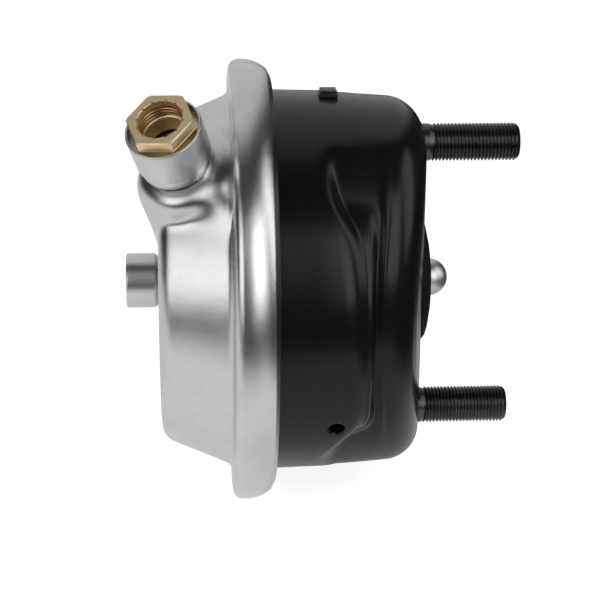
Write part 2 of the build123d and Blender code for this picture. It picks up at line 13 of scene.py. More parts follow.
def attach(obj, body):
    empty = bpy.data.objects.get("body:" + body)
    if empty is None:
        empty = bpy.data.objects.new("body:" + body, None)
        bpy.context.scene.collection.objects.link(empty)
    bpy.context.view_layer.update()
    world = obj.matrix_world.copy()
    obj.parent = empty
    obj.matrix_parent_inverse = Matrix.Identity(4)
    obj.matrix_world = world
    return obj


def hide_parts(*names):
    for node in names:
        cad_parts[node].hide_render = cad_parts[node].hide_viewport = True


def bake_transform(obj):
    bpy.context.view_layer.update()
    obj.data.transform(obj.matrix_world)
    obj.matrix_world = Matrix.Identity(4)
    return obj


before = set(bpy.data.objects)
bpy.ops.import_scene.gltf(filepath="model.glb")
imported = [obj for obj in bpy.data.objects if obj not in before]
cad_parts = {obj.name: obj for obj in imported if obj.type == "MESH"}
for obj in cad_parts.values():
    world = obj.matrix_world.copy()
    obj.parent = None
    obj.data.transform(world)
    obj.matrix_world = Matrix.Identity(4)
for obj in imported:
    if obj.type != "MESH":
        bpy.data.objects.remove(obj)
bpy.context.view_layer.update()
MM = 0.001


def select_only(thing=None):
    """Deselects everything, then selects one object, if one is given, and makes it active."""
    bpy.ops.object.select_all(action="DESELECT")
    if thing:
        thing.select_set(True)
        bpy.context.view_layer.objects.active = thing


def apply_place():
    """Puts the selected objects' place, turn and size into their meshes."""
    bpy.ops.object.transform_apply(location=True, rotation=True, scale=True)


def to_mode(mode):
    bpy.ops.object.mode_set(mode=mode)


def select_points(action):
    bpy.ops.mesh.select_all(action=action)


def eased(share):
    """A share held between 0 and 1, with a soft start and a soft end."""
    share = max(0.0, min(1.0, share))
    return share * share * (3 - 2 * share)
# %% [markdown]
# The camera stands in front of the chamber and looks down at it by 20 degrees. Its three
# directions are worked out first, and then put into its matrix, because a camera in Blender
# looks along its own -Z with +Y up. A lens of about 104 mm keeps the round rim from bulging.

# %% Camera
LOOK_DOWN = math.radians(20.16)
LOOK_ASIDE = math.radians(3.455)
HEAD_TILT = math.radians(0.757)
CAMERA_DISTANCE = 0.7561
AIM_ACROSS = 0.0509
AIM_UP = 0.01005
SENSOR = 36.0
PICTURE_WIDTH = 600.0
FOCAL_WIDTH = 1741.3  # the lens's focal length, on the scale of the picture's width


def camera_directions():
    """Right, up and towards-the-camera, in the object's frame."""
    level_right = Vector((math.cos(LOOK_ASIDE), -math.cos(LOOK_DOWN) * math.sin(LOOK_ASIDE),
                          math.sin(LOOK_DOWN) * math.sin(LOOK_ASIDE)))
    level_up = Vector((0.0, math.sin(LOOK_DOWN), math.cos(LOOK_DOWN)))
    towards = Vector((-math.sin(LOOK_ASIDE), -math.cos(LOOK_DOWN) * math.cos(LOOK_ASIDE),
                      math.sin(LOOK_DOWN) * math.cos(LOOK_ASIDE)))
    right = level_right * math.cos(HEAD_TILT) - level_up * math.sin(HEAD_TILT)
    up = level_right * math.sin(HEAD_TILT) + level_up * math.cos(HEAD_TILT)
    return right, up, towards


right, up, towards = camera_directions()
camera_place = towards * CAMERA_DISTANCE - right * AIM_ACROSS - up * AIM_UP
bpy.ops.object.camera_add(location=camera_place)
camera = bpy.context.object
camera.name = "studio_camera"
camera.rotation_euler = Matrix((right, up, towards)).transposed().to_euler()
camera.data.sensor_width = SENSOR
camera.data.lens = SENSOR * FOCAL_WIDTH / PICTURE_WIDTH
camera.data.clip_start = 0.01
camera.data.clip_end = 50.0
bpy.context.scene.camera = camera
print("camera at", [round(v, 3) for v in camera_place], "lens", round(camera.data.lens, 1))
# %% [markdown]
# The studio: a pale floor that the rim stands on, large soft lamps in front and at the right, and
# a room that is white behind the chamber and dim in front and overhead. Bare zinc is a mirror
# that has been blurred, so what stands round it matters more than how strong the lamps are.
# Between the lamps the room stays dim, and that is what draws the dark bands on the cover.

# %% Floor
FLOOR_Z = -0.0943
select_only()
bpy.ops.mesh.primitive_circle_add(vertices=96, radius=9.0, fill_type="NGON", location=(0, 0, FLOOR_Z))
floor = bpy.context.object
floor.name = "studio_floor"
apply_place()


def new_material(name):
    """An empty material with a Principled shader and its output."""
    material = bpy.data.materials.new(name)
    material.use_nodes = True
    nodes = material.node_tree.nodes
    return material, nodes, material.node_tree.links, nodes["Principled BSDF"]


def node(nodes, kind, **values):
    """Adds a shader node and sets its properties; numbers in `inputs` go to its sockets."""
    made = nodes.new(kind)
    for key, value in values.pop("inputs", {}).items():
        made.inputs[key].default_value = value
    for key, value in values.items():
        setattr(made, key, value)
    return made


def wire(links, *wires):
    """Links nodes; each wire is (from node, output, to node, input)."""
    for source, output, target, entry in wires:
        links.new(source.outputs[output], target.inputs[entry])


floor_paint, nodes, links, shader = new_material("studio_floor_paint")
shader.inputs["Roughness"].default_value = 0.9
shader.inputs["Specular IOR Level"].default_value = 0.1
# The camera sees the floor as white. A reflection sees it white close by and dim further in front.
light_path = node(nodes, "ShaderNodeLightPath")
floor_place = node(nodes, "ShaderNodeTexCoord")
floor_parts = node(nodes, "ShaderNodeSeparateXYZ")
near = node(nodes, "ShaderNodeMapRange", interpolation_type="SMOOTHSTEP",
            inputs={"From Min": -0.33, "From Max": -0.20})
beside = node(nodes, "ShaderNodeMapRange", interpolation_type="SMOOTHSTEP",
              inputs={"From Min": 0.05, "From Max": 0.16, "To Min": 1.0, "To Max": 0.0})
white_patch = node(nodes, "ShaderNodeMath", operation="MULTIPLY")
far = node(nodes, "ShaderNodeMath", operation="SUBTRACT", inputs={0: 1.0})
unseen = node(nodes, "ShaderNodeMath", operation="MULTIPLY")
floor_tone = node(nodes, "ShaderNodeMix", data_type="RGBA")
floor_tone.inputs[6].default_value = (0.86, 0.86, 0.86, 1)
floor_tone.inputs[7].default_value = (0.05, 0.05, 0.05, 1)
to_camera = node(nodes, "ShaderNodeMath", operation="MULTIPLY", inputs={1: 0.80})
to_gloss = node(nodes, "ShaderNodeMath", operation="MULTIPLY")
glow = node(nodes, "ShaderNodeMath", operation="MULTIPLY", inputs={1: 0.36})
lift = node(nodes, "ShaderNodeMath", operation="ADD")
wire(links,
     (floor_place, "Object", floor_parts, 0), (floor_parts, "Y", near, "Value"),
     (light_path, "Is Camera Ray", to_camera, 0), (light_path, "Is Glossy Ray", to_gloss, 0),
     (floor_parts, "X", beside, "Value"), (near, 0, white_patch, 0), (beside, 0, white_patch, 1),
     (white_patch, 0, to_gloss, 1), (white_patch, 0, far, 1), (far, 0, unseen, 0),
     (light_path, "Is Glossy Ray", unseen, 1), (unseen, 0, floor_tone, 0),
     (floor_tone, 2, shader, "Base Color"), (to_gloss, 0, glow, 0), (to_camera, 0, lift, 0),
     (glow, 0, lift, 1), (lift, 0, shader, "Emission Strength"))
shader.inputs["Emission Color"].default_value = (1, 1, 1, 1)
floor.data.materials.append(floor_paint)
print("floor at", FLOOR_Z)

# %% Lamps and the room
LAMP_DISTANCE = 1.6
LAMP_AIM = Vector((-0.05, 0, 0))


def soft_lamp(name, azimuth, elevation, width, height, watts):
    """A rectangular lamp on a sphere round the chamber; azimuth 0 is the camera's side, + is right."""
    turn, lift_angle = math.radians(azimuth), math.radians(elevation)
    level = math.cos(lift_angle)
    way = Vector((math.sin(turn) * level, -math.cos(turn) * level, math.sin(lift_angle)))
    bpy.ops.object.light_add(type="AREA", location=way * LAMP_DISTANCE + LAMP_AIM)
    lamp = bpy.context.object
    lamp.name = name
    lamp.rotation_euler = way.to_track_quat("Z", "Y").to_euler()
    lamp.data.shape = "RECTANGLE"
    lamp.data.size = width
    lamp.data.size_y = height
    lamp.data.energy = watts
    return lamp


soft_lamp("left_lamp", -43, 20, 1.30, 1.20, 6.3)
soft_lamp("right_lamp", 32, 25, 1.09, 1.22, 8.4)
soft_lamp("side_lamp", 80, 27, 0.70, 1.35, 4.6)

world = bpy.data.worlds.new("studio_room")
bpy.context.scene.world = world
world.use_nodes = True
nodes, links = world.node_tree.nodes, world.node_tree.links
background = nodes["Background"]
light_path = node(nodes, "ShaderNodeLightPath")
direction = node(nodes, "ShaderNodeTexCoord")
split = node(nodes, "ShaderNodeSeparateXYZ")
wire(links, (direction, "Generated", split, 0))
# White behind the chamber, dim in front and overhead
behind = node(nodes, "ShaderNodeMapRange", interpolation_type="SMOOTHSTEP",
              inputs={"From Min": -0.10, "From Max": 0.14, "To Min": 0.035, "To Max": 0.60})
low = node(nodes, "ShaderNodeMath", operation="MULTIPLY_ADD", inputs={1: 0.8, 2: -0.8})
back = node(nodes, "ShaderNodeMath", operation="ADD")
wire(links,
     (split, "Z", low, 0), (split, "Y", back, 0), (low, 0, back, 1))
rightward = node(nodes, "ShaderNodeMath", operation="MAXIMUM", inputs={1: 0.0})
less_right = node(nodes, "ShaderNodeMath", operation="MULTIPLY_ADD", inputs={1: -0.6})
wire(links,
     (split, "X", rightward, 0), (rightward, 0, less_right, 0), (back, 0, less_right, 2),
     (less_right, 0, behind, "Value"))
seen = node(nodes, "ShaderNodeMix", data_type="FLOAT", inputs={3: 1.0})
wire(links,
     (light_path, "Is Camera Ray", seen, 0), (behind, 0, seen, 2), (seen, 0, background, "Strength"))
background.inputs["Color"].default_value = (1, 1, 1, 1)
bpy.context.scene.view_settings.view_transform = "Standard"
print("lamps: 3, room white behind, dim in front and overhead")
# %% [markdown]
# Finishes. Three effects turn up on more than one metal, so each is a node group that is built
# once: a fine grain that breaks up reflections, the rings that a lathe or a drawing die leaves
# round an axis, and a slow stain that makes one spot duller than the next. A group only puts out
# values and normals; the shader itself stays in each material.

# %% Group: fine grain
def new_group(name, inputs, outputs):
    """A node group with float inputs (name, value) and outputs (name, socket type)."""
    group = bpy.data.node_groups.new(name, "ShaderNodeTree")
    for socket, value in inputs:
        made = group.interface.new_socket(socket, in_out="INPUT", socket_type="NodeSocketFloat")
        made.default_value = value
    for socket, kind in outputs:
        group.interface.new_socket(socket, in_out="OUTPUT", socket_type=kind)
    nodes = group.nodes
    return group, nodes, group.links, node(nodes, "NodeGroupInput"), node(nodes, "NodeGroupOutput")


grain_group, nodes, links, group_in, group_out = new_group(
    "fine_grain", [("Scale", 900.0), ("Height", 0.1), ("Coarse", 120.0)],
    [("Normal", "NodeSocketVector"), ("Value", "NodeSocketFloat")])
place = node(nodes, "ShaderNodeTexCoord")
fine = node(nodes, "ShaderNodeTexNoise", inputs={"Detail": 3.0, "Roughness": 0.6})
coarse = node(nodes, "ShaderNodeTexNoise", inputs={"Detail": 2.0, "Roughness": 0.5})
wire(links,
     (place, "Object", fine, "Vector"), (place, "Object", coarse, "Vector"),
     (group_in, "Scale", fine, "Scale"), (group_in, "Coarse", coarse, "Scale"))
both = node(nodes, "ShaderNodeMath", operation="MULTIPLY_ADD", inputs={1: 0.2})
wire(links,
     (coarse, 0, both, 0), (fine, 0, both, 2))
bump = node(nodes, "ShaderNodeBump", inputs={"Distance": 0.0002})
wire(links,
     (group_in, "Height", bump, "Strength"), (both, 0, bump, "Height"), (bump, 0, group_out, "Normal"),
     (fine, 0, group_out, "Value"))
print("group", grain_group.name)

# %% Group: rings round an axis
# The distance along the axis drives noise in one dimension, so the marks run right round.
rings_group, nodes, links, group_in, group_out = new_group(
    "turned_rings", [("Rings per metre", 900.0), ("Sharpness", 2.0)], [("Value", "NodeSocketFloat")])
rings_group.interface.new_socket("Place", in_out="INPUT", socket_type="NodeSocketVector")
apart = node(nodes, "ShaderNodeSeparateXYZ")
ring_noise = node(nodes, "ShaderNodeTexNoise", noise_dimensions="1D", inputs={"Roughness": 0.6})
wire(links,
     (group_in, "Place", apart, 0), (apart, "X", ring_noise, "W"),
     (group_in, "Rings per metre", ring_noise, "Scale"), (group_in, "Sharpness", ring_noise, "Detail"),
     (ring_noise, 0, group_out, "Value"))
print("group", rings_group.name)

# %% Group: stain
stain_group, nodes, links, group_in, group_out = new_group(
    "slow_stain", [("Scale", 30.0), ("Low", 0.2), ("High", 0.3)], [("Value", "NodeSocketFloat")])
place = node(nodes, "ShaderNodeTexCoord")
cloud = node(nodes, "ShaderNodeTexNoise", inputs={"Detail": 4.0, "Roughness": 0.62})
wire(links,
     (place, "Object", cloud, "Vector"), (group_in, "Scale", cloud, "Scale"))
widened = node(nodes, "ShaderNodeMapRange", inputs={"From Min": 0.3, "From Max": 0.7})
wire(links,
     (cloud, 0, widened, "Value"), (group_in, "Low", widened, "To Min"),
     (group_in, "High", widened, "To Max"), (widened, 0, group_out, "Value"))
print("group", stain_group.name)


def use_group(nodes, group, **values):
    """Places a group in a material; underscores in a name stand for spaces."""
    placed = nodes.new("ShaderNodeGroup")
    placed.node_tree = group
    for key, value in values.items():
        placed.inputs[key.replace("_", " ")].default_value = value
    return placed


# %% A skin that wanders
def skin(name, dark, light, tone_scale, stain, dull_low, dull_high, grain_scale, coarse, grain):
    """A material whose colour, roughness and normal change a little from place to place."""
    material, nodes, links, shader = new_material(name)
    surface = use_group(nodes, grain_group, Scale=grain_scale, Height=grain, Coarse=coarse)
    dullness = use_group(nodes, stain_group, Scale=stain, Low=dull_low, High=dull_high)
    tone = use_group(nodes, stain_group, Scale=tone_scale, Low=0.0, High=1.0)
    colour = node(nodes, "ShaderNodeMix", data_type="RGBA")
    colour.inputs[6].default_value = (*dark, 1)
    colour.inputs[7].default_value = (*light, 1)
    wire(links, (tone, "Value", colour, 0), (colour, 2, shader, "Base Color"),
         (dullness, "Value", shader, "Roughness"), (surface, "Normal", shader, "Normal"))
    return material, nodes, links, shader, surface


# %% [markdown]
# Zinc plating is a thin bright metal over pressed steel. It isn't polished: the steel's grain
# shows through, so reflections are soft and slightly sandy, and drawing the dish has left very
# faint rings round it. The colour is a cool grey with a little blue.

# %% Zinc plate
def metal_finish(name, dark, light, dull_low, dull_high, grain, rings=0.0, grain_scale=1600.0,
                 stain=28.0, ring_scale=420.0):
    """A metal whose colour and roughness wander a little, with grain and rings round the X axis."""
    material, nodes, links, shader, surface = skin(
        name, dark, light, stain * 1.7, stain, dull_low, dull_high, grain_scale, grain_scale / 6, grain)
    shader.inputs["Metallic"].default_value = 1.0
    if rings:
        place = node(nodes, "ShaderNodeTexCoord")
        marks = use_group(nodes, rings_group, Rings_per_metre=ring_scale, Sharpness=3.0)
        ridge = node(nodes, "ShaderNodeBump", inputs={"Strength": rings, "Distance": 0.0002})
        wire(links, (place, "Object", marks, "Place"), (marks, "Value", ridge, "Height"),
             (surface, "Normal", ridge, "Normal"), (ridge, 0, shader, "Normal"))
    return material


zinc_plate = metal_finish("zinc_plate", (0.65, 0.655, 0.655), (0.72, 0.725, 0.725), 0.19, 0.27, 0.38,
                          rings=0.08, grain_scale=2300.0, stain=32.0)
turned_zinc = metal_finish("turned_zinc", (0.67, 0.68, 0.69), (0.74, 0.75, 0.76), 0.24, 0.33, 0.30,
                           rings=0.20, grain_scale=2300.0, ring_scale=1500.0)
print("zinc finishes:", zinc_plate.name, turned_zinc.name)

# %% [markdown]
# The housing is painted. Baked black paint is nearly smooth, but it flows while it dries and
# leaves a shallow orange peel, which is what softens the long highlights. It isn't pure black.

# %% Black paint
black_paint, nodes, links, shader, surface = skin(
    "black_paint", (0.004, 0.004, 0.0042), (0.006, 0.006, 0.0064), 60.0, 22.0, 0.24, 0.29, 900.0, 150.0, 0.10)
shader.inputs["Specular IOR Level"].default_value = 0.30
print("paint:", black_paint.name)

# %% Steels and brass
stud_steel = metal_finish("stud_steel", (0.065, 0.065, 0.067), (0.14, 0.14, 0.145), 0.24, 0.36, 0.25,
                          grain_scale=2200.0)
inner_steel = metal_finish("inner_steel", (0.30, 0.30, 0.31), (0.42, 0.42, 0.43), 0.35, 0.50, 0.2)
spring_steel = metal_finish("spring_steel", (0.10, 0.11, 0.13), (0.20, 0.21, 0.23), 0.28, 0.42, 0.15)
bright_steel = metal_finish("bright_steel", (0.62, 0.63, 0.64), (0.76, 0.77, 0.78), 0.36, 0.44, 0.06)
brass = metal_finish("brass", (0.92, 0.71, 0.41), (1.0, 0.82, 0.52), 0.36, 0.50, 0.22,
                     grain_scale=2400.0, stain=140.0)
# A darker copy of the brass: painted shade for the coil that sits deep inside the socket.
shaded_coil_brass = metal_finish("shaded_coil_brass", (0.42, 0.27, 0.11), (0.55, 0.38, 0.18), 0.30, 0.42, 0.05)
print("metals:", len(bpy.data.materials))


# %% Rubber and plastic
def soft_finish(name, dark, light, dull_low, dull_high, grain, grain_scale, shine=0.5):
    """Rubber or plastic: no metal, a matt skin with a fine grain."""
    material, nodes, links, shader, surface = skin(
        name, dark, light, 90.0, 40.0, dull_low, dull_high, grain_scale, grain_scale / 5, grain)
    shader.inputs["Specular IOR Level"].default_value = shine
    return material


rubber = soft_finish("rubber", (0.003, 0.003, 0.003), (0.007, 0.007, 0.007), 0.55, 0.72, 0.25, 1400.0,
                     shine=0.15)
plastic = soft_finish("plastic", (0.012, 0.012, 0.013), (0.022, 0.022, 0.024), 0.32, 0.42, 0.08, 1200.0)
print("finishes:", len(bpy.data.materials))

# %% Put the finishes on the CAD solids
NODE_FINISH = {
    "pressure_cover": zinc_plate, "centre_bush": turned_zinc, "port_boss": turned_zinc,
    "blanking_plug": inner_steel, "housing": black_paint, "mounting_studs": stud_steel,
    "backing_plate": inner_steel, "port_fitting": brass, "fitting_coil": shaded_coil_brass,
    "piston_plate": inner_steel, "rod_hub": inner_steel, "push_rod": bright_steel,
    "boot_retainer": inner_steel, "return_spring": spring_steel, "vent_plugs": plastic,
    "rod_boot": rubber, "diaphragm": rubber, "fitting_face_seal": rubber,
    "fitting_tube_seal": rubber, "blanking_plug_seal": rubber,
}


def dress(thing, finish):
    """Gives an object one finish in all its slots."""
    if not thing.data.materials:
        thing.data.materials.append(finish)
    for slot in thing.material_slots:
        slot.material = finish


def finish_piece(thing, body, replaced, finish):
    """Gives a piece its body, the node that it stands in for and its finish."""
    if body:
        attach(thing, body)
    if replaced:
        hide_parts(replaced)
    dress(thing, finish)


for name, finish in NODE_FINISH.items():
    dress(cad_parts[name], finish)
print("dressed", len(NODE_FINISH), "of", len(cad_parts))
# %% [markdown]
# Half of this object is turned, spun or threaded, so one way of working serves many pieces: draw
# half a section as a chain of edges, then spin it round its axis. The chain starts as a small
# plane that is merged to one point, and each extrude carries the point on, as it would by hand.

# %% Draw a section and spin it
def edit(thing):
    """Selects one object alone and enters its edit mode."""
    select_only(thing)
    to_mode("EDIT")


def draw_chain(name, points, closed=False):
    """An object with one chain of edges through the points, which are in metres."""
    start = Vector(points[0])
    select_only()
    bpy.ops.mesh.primitive_plane_add(size=0.001, location=start)
    thing = bpy.context.object
    thing.name = name
    apply_place()
    edit(thing)
    bpy.ops.mesh.select_mode(type="VERT")
    select_points("SELECT")
    bpy.ops.mesh.merge(type="CENTER")
    for before, after in zip(points, points[1:]):
        bpy.ops.mesh.extrude_region_move(TRANSFORM_OT_translate={"value": Vector(after) - Vector(before)})
    if closed:
        select_points("SELECT")
        to_mode("OBJECT")
        ends = [0, len(thing.data.vertices) - 1]
        for vertex in thing.data.vertices:
            vertex.select = vertex.index in ends
        for line in thing.data.edges:
            line.select = False
        to_mode("EDIT")
        bpy.ops.mesh.edge_face_add()
    to_mode("OBJECT")
    return thing


def smooth_shading(thing, angle):
    select_only(thing)
    bpy.ops.object.shade_smooth_by_angle(angle=math.radians(angle))


def tidy_mesh(thing, gap=0.000002, angle=35.0):
    """Merges doubles, points the faces outwards and smooths the shading under an angle."""
    edit(thing)
    select_points("SELECT")
    bpy.ops.mesh.remove_doubles(threshold=gap)
    bpy.ops.mesh.normals_make_consistent(inside=False)
    to_mode("OBJECT")
    smooth_shading(thing, angle)


def spin_round(thing, steps, centre=(0, 0, 0), axis=(1, 0, 0)):
    """Spins the object's chain all the way round."""
    edit(thing)
    select_points("SELECT")
    bpy.ops.mesh.spin(steps=steps, angle=math.tau, center=centre, axis=axis)
    to_mode("OBJECT")


def spin_chain(thing, centre, axis, steps):
    """Spins the chain and tidies the mesh."""
    spin_round(thing, steps, centre, axis)
    tidy_mesh(thing)
    return thing


def rounded(corners, steps=6):
    """Points through (x, r, radius) corners, with each corner rounded by its own radius."""
    points = []
    for index, (x, r, radius) in enumerate(corners):
        here = Vector((x, r))
        last = Vector(corners[index - 1][:2]) if index else None
        after = Vector(corners[index + 1][:2]) if index + 1 < len(corners) else None
        if radius <= 0 or last is None or after is None:
            points.append(here)
            continue
        back, on = (last - here).normalized(), (after - here).normalized()
        half = math.acos(max(-1.0, min(1.0, back.dot(on)))) / 2
        if half > math.radians(89.5):
            points.append(here)
            continue
        reach = radius / math.tan(half)
        middle = here + (back + on).normalized() * (radius / math.sin(half))
        first, final = here + back * reach - middle, here + on * reach - middle
        sweep = first.angle_signed(final)
        for step in range(steps + 1):
            turn = -sweep * step / steps
            points.append(middle + Matrix.Rotation(turn, 2) @ first)
    return points


def number_points(thing):
    """Writes each point's number along the section on it; the spin copies the number all round."""
    numbers = thing.data.attributes.new("station", "INT", "POINT")
    for index, item in enumerate(numbers.data):
        item.value = index


def numbered(thing):
    """Pairs of each point and its number along the section."""
    return zip(thing.data.vertices, [item.value for item in thing.data.attributes["station"].data])


def smooth_points(thing, wanted, repeat):
    """Smooths the points for which wanted(place in mm, number) is true."""
    edit(thing)
    bpy.ops.mesh.select_mode(type="VERT")
    select_points("DESELECT")
    to_mode("OBJECT")
    for vertex, number in numbered(thing):
        vertex.select = wanted(vertex.co / MM, number)
    to_mode("EDIT")
    bpy.ops.mesh.vertices_smooth(factor=0.5, repeat=repeat)
    to_mode("OBJECT")


print("section drawing ready")
# %% [markdown]
# The pressure cover is one zinc plated pressing: a dish with a soft corner, a rim crimped over the
# housing's flange, and a nose that carries the port. The dish and rim are spun from one closed
# section. The nose grows out of the same net: every point that lies inside the nose's form is
# carried outwards, along a ray from a centre under the nose, until it meets the blended form.

# %% The cover's section
END_X, END_R, WALL = -110.9, 67.2, 3.0
CONE = Vector((-0.3888, 0.9213))  # outward direction of the cone, as (x, r)
ROUND_R = 8.0
CREST_X, CREST_R, CREST_ARC = -75.8, 78.2, 16.0
crest = [(CREST_X + CREST_ARC * math.sin(math.radians(a)), CREST_R + CREST_ARC * math.cos(math.radians(a)), 0)
         for a in range(0, 41, 4)]
cover_outside = [(END_X, 10.7, 0), (END_X, END_R, ROUND_R), (-81.2, 79.73, 4.6), (-81.2, 94.2, 4.0), *crest,
                 (-63.7, 87.0, 3.0), (-63.3, 82.6, 0.3)]
cover_inside = [(-64.4, 82.3, 0), (-69.6, 91.2, 1.2), (-78.2, 91.2, 1.2), (-78.2, 77.8, 2.0),
                (END_X + WALL, 65.2, 5.0), (END_X + WALL, 10.7, 0)]


def closer_together(points, gap):
    """Adds points so that no two neighbours are further apart than the gap."""
    dense = [points[0]]
    for here in points[1:]:
        steps = max(1, math.ceil((here - dense[-1]).length / gap))
        start = dense[-1]
        dense += [start.lerp(here, (i + 1) / steps) for i in range(steps)]
    return dense


outer_line = closer_together(rounded(cover_outside, 12), 1.1)
inner_line = closer_together(rounded(cover_inside, 6), 2.4)
print("cover section:", len(outer_line), "points outside,", len(inner_line), "inside")

# %% The port's frame
PORT_MOUTH = Vector((-109.1, -61.52, 86.57))
PORT_AXIS = Vector((-0.2317479, -0.5635108, 0.7929367)).normalized()
port_side = Vector((0, 1, 0)).cross(PORT_AXIS).normalized()
port_up = PORT_AXIS.cross(port_side)
NOSE_TOP, NOSE_R = 27.4, 19.2
nose_heart = PORT_MOUTH - PORT_AXIS * 48.0


def dish_depth(point):
    """How far a point in mm lies outside the dish; negative inside."""
    x, r = point.x, math.hypot(point.y, point.z)
    end, cone = END_X - x, CONE.x * (x - END_X) + CONE.y * (r - END_R)
    corner = Vector((x - (END_X + ROUND_R), r - (END_R + (-ROUND_R - CONE.x * ROUND_R) / CONE.y)))
    if corner.y > 0 and -CONE.y * corner.x + CONE.x * corner.y > 0:
        return corner.length - ROUND_R
    return max(end, cone)


def cover_depth(point):
    """The dish and the nose together, with a tight seam towards the dish's end and a wide one
    towards the rim."""
    local = point - PORT_MOUTH
    side, up, high = local.dot(port_side), local.dot(port_up), local.dot(PORT_AXIS)
    soft = 4.5 + 5.0 * eased((-side - 4.0) / 12.0)
    across = math.hypot(side, up + 1.5) - NOSE_R + soft
    above = high + NOSE_TOP + soft
    nose = min(max(across, above), 0.0) + math.hypot(max(across, 0.0), max(above, 0.0)) - soft
    seam = 2.6 + 18.0 * eased((side + 4.0) / 20.0)
    dish = dish_depth(point)
    near = max(seam - abs(dish - nose), 0.0) / seam
    return min(dish, nose) - near * near * seam / 4


def carried(point, level):
    """The place where the ray from the nose's heart through a point meets the form."""
    way = (point - nose_heart).normalized()
    if point.x > -84.0:
        way = Vector((0, point.y, point.z)).normalized()
    low, high = 0.0, 1.0
    while cover_depth(point + way * high) < level and high < 45.0:
        low, high = high, high + 1.0
    for _ in range(12):
        middle = (low + high) / 2
        if cover_depth(point + way * middle) < level:
            low = middle
        else:
            high = middle
    return point + way * high


print("nose centre:", [round(v, 1) for v in nose_heart])

# %% Spin the cover and raise the nose
COVER_STEPS = 320
RAISED_BEFORE_X, RAISED_REACH = -79.0, 78.0
section = outer_line + inner_line
cover = draw_chain("pressed_cover", [(p.x * MM, 0.0, p.y * MM) for p in section], closed=True)
number_points(cover)
spin_round(cover, COVER_STEPS)
raised = 0
for vertex, number in numbered(cover):
    point = vertex.co / MM
    if point.x > RAISED_BEFORE_X or (point - PORT_MOUTH).length > RAISED_REACH:
        continue
    outside = number < len(outer_line)
    level = 0.0 if outside else -WALL
    if cover_depth(point) < level - 0.01:
        vertex.co = carried(point, level) * MM
        raised += outside
tidy_mesh(cover, angle=60.0)
smooth_points(cover, lambda point, _: point.x < -82.5 and (point - PORT_MOUTH).length < 62.0
              and abs(cover_depth(point)) < 0.2, repeat=8)
print("cover:", len(cover.data.vertices), "points, raised", raised)
# %% [markdown]
# The housing is one pressing: a round drum that steps down to a narrower end with two flattened
# flanks. Beside each flank the drum falls to the step, and the steel flows there. A section is
# drawn once, spun, and then every point of the spun net is moved to where the pressing has it
# at that angle. A net that runs with the form shades without dents.

# %% The housing's section at any angle
MOUTH_X, MOUTH_R, SHEET = -71.2, 81.6, 3.0
FLANGE_R, FLANGE_FOOT_X = 90.3, -64.45
BAND_ROOT_X, CROWN_X, CROWN_R = -50.0, 0.5, 200.0
SEAT_R, SEAT_X, BOOT_HOLE_R = 36.0, -3.0, 28.0


def between(value, table):
    """Reads a table of (value, result) pairs, with straight lines between them."""
    if value <= table[0][0]:
        return table[0][1]
    for (low, start), (high, end) in zip(table, table[1:]):
        if value <= high:
            return start + (end - start) * (value - low) / (high - low)
    return table[-1][1]


def soft_least(a, b, width):
    """The smaller of two lengths, with the corner between them rounded off."""
    share = max(0.0, min(1.0, 0.5 + 0.5 * (b - a) / width))
    return b * (1 - share) + a * share - width * share * (1 - share)


def drum_radius(x):
    return between(x, [(MOUTH_X, MOUTH_R), (-44.0, 80.8), (-27.6, 79.6), (-20.0, 79.0)])


def band_radius(x, turn):
    """The narrower end: a circle with a shallow arc for each flank."""
    along = (x - BAND_ROOT_X) / (CROWN_X - BAND_ROOT_X)
    lobe = MOUTH_R - (0.65 + 3.35 * along)
    nearest = MOUTH_R - 11.1 - 3.0 * along
    centre = 28.0 - 7.5 * max(0.0, along)
    side = abs(math.sin(turn))
    reach = (centre * side) ** 2 - centre ** 2 + (nearest + centre) ** 2
    flank = math.sqrt(max(0.0, reach)) - centre * side
    # A low rib runs along the flank's start, with a shallow hollow before the end's corner
    rib = 0.95 * math.exp(-((x + 20.3) / 2.2) ** 2) - 0.45 * math.exp(-((x + 15.8) / 2.0) ** 2)
    shown = max(0.0, min(1.0, (side - 0.50) / 0.36))
    return soft_least(lobe, flank + rib * shown, 0.8)


# The panel beside each flank, read at angles from +Z towards -Y. It starts to fall at the first
# place, reaches the foot of its fall at the second, and ends in a step at the third.
FALL_STARTS = [(28, -50.0), (40, -49.0), (47, -47.0), (52, -45.0), (58, -42.6), (64, -41.2), (70, -40.2),
               (85, -38.6), (100, -37.4), (110, -36.8), (118, -37.2), (124, -39.0), (130, -43.0),
               (138, -48.0), (150, -50.0)]
FALL_FEET = [(28, -40.0), (40, -40.5), (47, -38.6), (52, -36.0), (58, -31.8), (64, -30.2), (70, -29.6),
             (85, -29.2), (100, -28.9), (110, -28.8), (118, -29.0), (124, -30.8), (130, -34.6),
             (138, -39.0), (150, -40.0)]
STEP_PLACES = [(28, -33.0), (40, -32.5), (47, -30.0), (52, -27.6), (58, -26.9), (62, -26.7), (118, -26.7),
               (124, -28.4), (130, -32.0), (138, -36.0), (150, -37.0)]
FOOT_REACHES = [(42, 7.0), (56, 3.0), (68, 1.1), (114, 1.1), (126, 5.0)]
FOOT_DEPTHS = [(28, 9.0), (40, 7.0), (52, 4.8), (60, 4.2), (70, 3.9), (85, 3.3), (98, 2.3), (108, 1.7),
               (116, 1.5), (122, 2.2), (130, 6.0), (138, 9.0)]


def crown_x(r, turn):
    """The crowned end's height at a radius; it is curved across the line of the studs."""
    return CROWN_X - (r * math.sin(turn)) ** 2 / (2 * CROWN_R)


